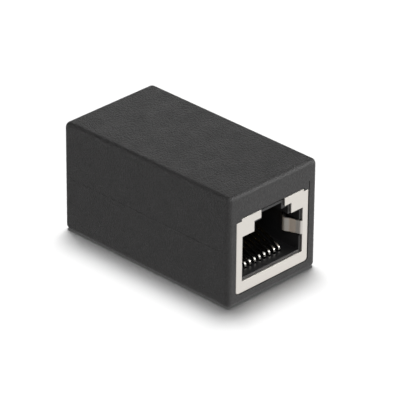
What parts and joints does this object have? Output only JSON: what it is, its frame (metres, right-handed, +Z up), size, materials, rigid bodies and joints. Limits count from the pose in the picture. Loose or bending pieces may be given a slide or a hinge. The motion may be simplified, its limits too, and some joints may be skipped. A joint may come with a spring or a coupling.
{
  "type": "rj45 inline coupler",
  "caption": "Inline coupler for network cables: a black moulded shell with a shielded modular socket in each end.",
  "frame": {"origin": "middle of the shell's flat bottom face", "axes": "+Z up, X across the coupler, Y along it; the front socket opens towards -Y and the rear one towards +Y"},
  "size_m": [0.0186, 0.0342, 0.0181],
  "materials": {
    "shell_plastic": "fine spark-eroded texture",
    "housing_plastic": "satin moulded",
    "shield_metal": "satin nickel plate",
    "contact_plating": "gold plate",
    "board_laminate": "solder mask",
    "solder": "reflowed tin"
  },
  "bodies": {
    "root": {"lower_shell": "shell_plastic", "upper_shell": "shell_plastic", "circuit_board": "board_laminate", "front_shield": "shield_metal", "front_jack_housing": "housing_plastic", "front_contact_carrier": "housing_plastic", "front_solder_joints": "solder", "front_contact_1": "contact_plating", "front_contact_2": "contact_plating", "front_contact_3": "contact_plating", "front_contact_4": "contact_plating", "front_contact_5": "contact_plating", "front_contact_6": "contact_plating", "front_contact_7": "contact_plating", "front_contact_8": "contact_plating", "rear_shield": "shield_metal", "rear_jack_housing": "housing_plastic", "rear_contact_carrier": "housing_plastic", "rear_solder_joints": "solder", "rear_contact_1": "contact_plating", "rear_contact_2": "contact_plating", "rear_contact_3": "contact_plating", "rear_contact_4": "contact_plating", "rear_contact_5": "contact_plating", "rear_contact_6": "contact_plating", "rear_contact_7": "contact_plating", "rear_contact_8": "contact_plating"}
  },
  "joints": []
}
